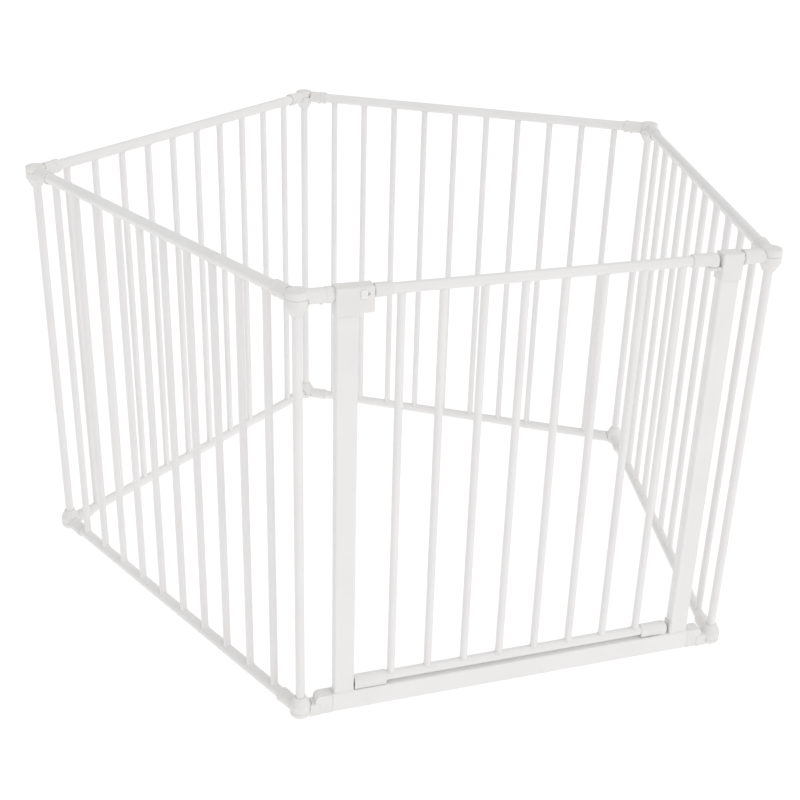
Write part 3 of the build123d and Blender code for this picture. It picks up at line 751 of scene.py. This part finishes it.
def build_leaf_ends():
    """The leaf's four end mouldings: latch sleeve, latch block, hinge sleeve and hinge block."""
    pin = middle("leaf_hinge_pins")
    eye_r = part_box("leaf_upper_hinge_sleeve")[1].x - pin.x
    low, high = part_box("leaf_latch_sleeve")
    radius = high.z - LEAF_HIGH
    socket = BOLT_R + 0.4 * MM
    socket_end = low.x + 8 * MM
    sleeve = bmesh.new()
    profile = rounded([
        (0, socket_end, 0),
        (socket, socket_end, 0),
        (socket, low.x, 0.5 * MM),
        (radius, low.x, 1.2 * MM),
        (radius, high.x, 1.2 * MM),
        (0, high.x, 0),
    ])
    add_lathe(sleeve, profile, along_leaf(0, LEAF_HIGH))
    make_piece("leaf_latch_end", sleeve, "gate_leaf", "moulded_plastic", ["leaf_latch_sleeve"])

    low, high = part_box("leaf_latch_block")
    block = bmesh.new()
    add_leaf_sleeve(block, low.x, high.x, LEAF_LOW, MOUTH_ROUND)
    tongue = rounded([
        (low.x, low.z, BLOCK_ROUND),
        (high.x, low.z, BLOCK_ROUND),
        (high.x, LEAF_LOW, 0),
        (low.x, LEAF_LOW, 0),
    ])
    add_prism(block, tongue, gate_side(), 2 * LEAF_RAIL_R, MM)
    make_piece("leaf_latch_foot", block, "gate_leaf", "moulded_plastic", ["leaf_latch_block"])

    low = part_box("leaf_upper_hinge_sleeve")[0]
    upper = bmesh.new()
    dome = radius - 0.1 * MM
    add_leaf_sleeve(upper, low.x, pin.x + radius, LEAF_HIGH, dome)
    add_round(upper, pin, eye_r, low.z, LEAF_HIGH + EYE_RISE, EYE_RISE)
    make_piece("leaf_hinge_eye", upper, "gate_leaf", "moulded_plastic", ["leaf_upper_hinge_sleeve"])

    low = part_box("leaf_lower_hinge_block")[0]
    lower = bmesh.new()
    add_leaf_sleeve(lower, low.x, pin.x + radius, LEAF_LOW, dome)
    tongue = rounded([
        (low.x, low.z, BLOCK_ROUND),
        (pin.x, low.z, 0),
        (pin.x, LEAF_LOW, 0),
        (low.x, LEAF_LOW, 0),
    ])
    add_prism(lower, tongue, gate_side(), 2 * LEAF_RAIL_R, MM)
    add_round(lower, pin, eye_r, low.z, LEAF_LOW + EYE_RISE, EYE_RISE)
    make_piece("leaf_hinge_foot", lower, "gate_leaf", "moulded_plastic", ["leaf_lower_hinge_block"])


# ---------------------------------------------------------------- stage, light and camera
CAMERA_OFFSET = Vector((-0.3648, -1.5655, 1.3419))  # from corner B's axis, at the bottom rails' level
CAMERA_HEADING = Vector((0.3116, 0.9502, 0)).normalized()
CAMERA_PITCH = radians(26.467)
CAMERA_ROLL = radians(1.7176)
CAMERA_LENS = 58.42
FLOOR_REACH = 30
FLOOR_GLOW = 0.70
KEY_DIRECTION = Vector((0.35, -0.45, 0.82)).normalized()
KEY_STRENGTH = 0.4
KEY_SPREAD = radians(40)
DOME_DARK = 0.42
DOME_LIGHT = 0.86


def build_camera():
    data = bpy.data.cameras.new("camera")
    data.lens = CAMERA_LENS
    data.sensor_width = 36
    camera = bpy.data.objects.new("camera", data)
    scene.collection.objects.link(camera)
    look = CAMERA_HEADING * cos(CAMERA_PITCH) - UP * sin(CAMERA_PITCH)
    right = look.cross(UP).normalized()
    facing = Matrix((right, right.cross(look), -look)).transposed().to_4x4()
    place = CORNER["b"] + UP * RAIL_LOW + CAMERA_OFFSET
    camera.matrix_world = Matrix.Translation(place) @ facing @ Matrix.Rotation(CAMERA_ROLL, 4, "Z")
    scene.camera = camera


def build_floor():
    material, tree, shader = new_material("floor")
    colour(tree, shader, spread(tree, noise_of(tree, 2), 0, 1), (0.40, 0.40, 0.40), (0.42, 0.42, 0.42))
    shader.inputs["Roughness"].default_value = 0.9
    shader.inputs["Specular IOR Level"].default_value = 0.1
    shader.inputs["Emission Color"].default_value = (1, 1, 1, 1)
    shader.inputs["Emission Strength"].default_value = FLOOR_GLOW
    mesh = bpy.data.meshes.new("floor")
    square = rectangle(-FLOOR_REACH, -FLOOR_REACH, FLOOR_REACH, FLOOR_REACH)
    mesh.from_pydata([(p.x, p.y, 0) for p in square], [], [(0, 1, 2, 3)])
    mesh.materials.append(material)
    floor = bpy.data.objects.new("floor", mesh)
    scene.collection.objects.link(floor)


def build_light():
    """A white studio dome, brighter towards the key direction, and one very soft key light."""
    world = bpy.data.worlds.new("studio")
    scene.world = world
    world.use_nodes = True
    tree = world.node_tree
    place = tree.nodes.new("ShaderNodeTexCoord")
    dot = tree.nodes.new("ShaderNodeVectorMath")
    dot.operation = "DOT_PRODUCT"
    dot.inputs[1].default_value = KEY_DIRECTION
    tree.links.new(place.outputs["Generated"], dot.inputs[0])
    strength = tree.nodes.new("ShaderNodeMapRange")
    strength.inputs["From Min"].default_value = -1.0
    strength.inputs["From Max"].default_value = 1.0
    strength.inputs["To Min"].default_value = DOME_DARK
    strength.inputs["To Max"].default_value = DOME_LIGHT
    tree.links.new(dot.outputs["Value"], strength.inputs["Value"])
    dome = tree.nodes["Background"]
    dome.inputs["Color"].default_value = (1, 1, 1, 1)
    tree.links.new(strength.outputs["Result"], dome.inputs["Strength"])
    key = bpy.data.lights.new("key", "SUN")
    key.energy = KEY_STRENGTH
    key.angle = KEY_SPREAD
    sun = bpy.data.objects.new("key", key)
    sun.matrix_world = KEY_DIRECTION.to_track_quat("Z", "Y").to_matrix().to_4x4()
    scene.collection.objects.link(sun)
    scene.view_settings.view_transform = "Standard"


finish_cad_nodes()
build_corner_joints()
build_caps_and_feet()
build_screws()
build_bar_welds()
build_post_welds()
build_latch_housing()
build_latch_button()
build_hinge_cap()
build_leaf_ends()
build_floor()
build_light()
build_camera()
